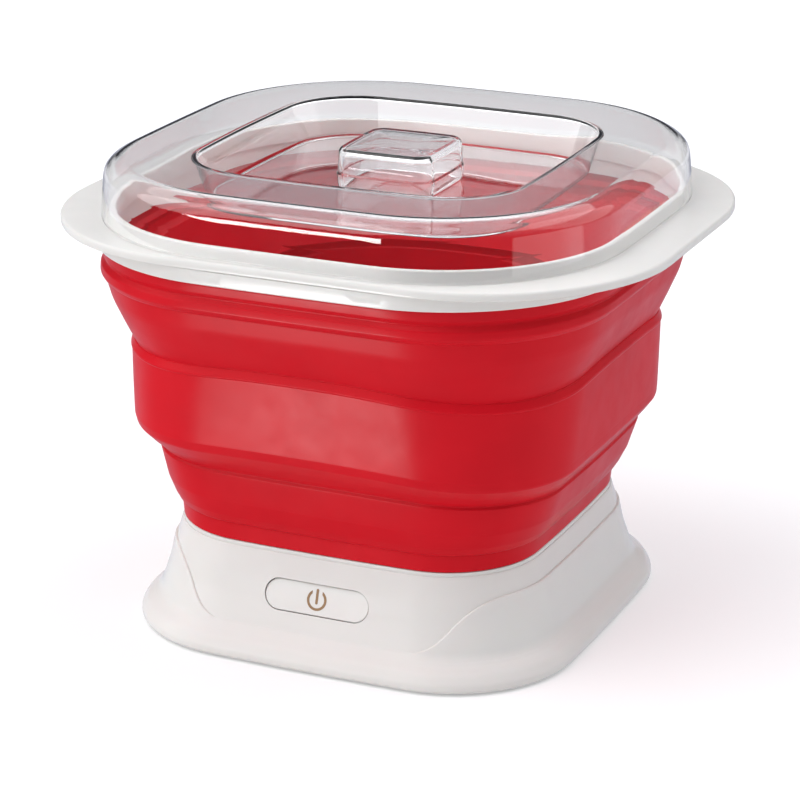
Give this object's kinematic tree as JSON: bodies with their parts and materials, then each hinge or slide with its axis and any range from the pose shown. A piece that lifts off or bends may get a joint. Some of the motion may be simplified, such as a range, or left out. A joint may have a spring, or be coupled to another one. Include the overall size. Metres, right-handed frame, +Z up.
{
  "type": "yogurt maker",
  "caption": "Collapsible yogurt maker: heated square base with power button, fold-down silicone vessel, white rim with ear grips and a clear lid with a sunken knob.",
  "frame": {"origin": "centre of the footprint on the table under the feet", "axes": "+Z up, the power button faces -Y, the ear grips point along +X and -X"},
  "size_m": [0.268, 0.235, 0.2054],
  "materials": {
    "white_gloss": "glossy warm white",
    "white_lens": "glossy warm white",
    "silicone_red": "satin",
    "clear_plastic": "clear, polished",
    "pan_steel": "brushed",
    "plate_aluminium": "satin",
    "clamp_steel": "plated",
    "heater_rubber": "matte",
    "insulation_felt": "felt",
    "tray_plastic": "fine grain",
    "inner_plastic": "matte",
    "screw_steel": "zinc plated",
    "foot_rubber": "matte",
    "board_green": "solder mask",
    "core_black": "ferrite",
    "winding_tape": "tape",
    "relay_blue": "moulded",
    "capacitor_can": "sleeved",
    "terminal_green": "moulded",
    "black_plastic": "fine grain",
    "pin_brass": "polished",
    "wire_brown": "sleeve",
    "wire_white": "sleeve",
    "wire_grey": "sleeve",
    "wire_yellow": "sleeve",
    "sensor_metal": "machined",
    "fuse_ceramic": "ceramic",
    "switch_black": "moulded",
    "plunger_white": "moulded",
    "led_lens": "diffused",
    "symbol_bronze": "bronze ink"
  },
  "bodies": {
    "base": {"base_shell": "white_gloss", "side_skirt": "white_gloss", "base_top_ring": "white_gloss", "well_tray": "tray_plastic", "insulation_pad": "insulation_felt", "heater_mat": "heater_rubber", "warming_plate": "plate_aluminium", "heater_clamp_plate": "clamp_steel", "plate_screws": "screw_steel", "temperature_sensor": "sensor_metal", "sensor_clip": "clamp_steel", "thermal_fuse": "fuse_ceramic", "power_board": "board_green", "board_screws": "screw_steel", "transformer_core": "core_black", "transformer_winding": "winding_tape", "relay": "relay_blue", "capacitor": "capacitor_can", "terminal_block": "terminal_green", "bottom_cover": "inner_plastic", "cover_screws": "screw_steel", "power_inlet": "black_plastic", "inlet_pins": "pin_brass", "mains_wires": "wire_brown", "heater_wires": "wire_white", "sensor_wires": "wire_grey", "signal_wires": "wire_yellow", "button_housing": "inner_plastic", "switch_board": "board_green", "tact_switch": "switch_black", "switch_plunger": "plunger_white", "status_led": "led_lens", "rubber_foot_1": "foot_rubber", "rubber_foot_2": "foot_rubber", "rubber_foot_3": "foot_rubber", "rubber_foot_4": "foot_rubber"},
    "button": {"power_button": "white_lens", "power_symbol": "symbol_bronze"},
    "vessel": {"vessel_pan": "pan_steel", "silicone_lower_band": "silicone_red", "silicone_lower_fold": "silicone_red"},
    "middle_band": {"silicone_middle_band": "silicone_red"},
    "rim": {"silicone_upper_fold": "silicone_red", "silicone_top_band": "silicone_red", "rim_collar": "white_gloss", "rim_clamp_ring": "white_gloss"},
    "lid": {"lid_shell": "clear_plastic", "lid_knob": "clear_plastic"}
  },
  "joints": [
    {"name": "vessel_lift", "type": "slide", "parent": "base", "child": "vessel", "axis": [0, 0, 1], "range_m": [0, 0.06]},
    {"name": "lower_fold", "type": "slide", "parent": "vessel", "child": "middle_band", "axis": [0, 0, -1], "range_m": [0, 0.023], "deforming": ["silicone_lower_fold"]},
    {"name": "upper_fold", "type": "slide", "parent": "middle_band", "child": "rim", "axis": [0, 0, -1], "range_m": [0, 0.047], "deforming": ["silicone_upper_fold"]},
    {"name": "lid_lift", "type": "slide", "parent": "rim", "child": "lid", "axis": [0, 0, 1], "range_m": [0, 0.06]},
    {"name": "power_press", "type": "slide", "parent": "base", "child": "button", "axis": [0, 0.9502, -0.3116], "range_m": [0, 0.001], "stiffness_N_per_m": 1500, "springref_m": -0.0004}
  ]
}
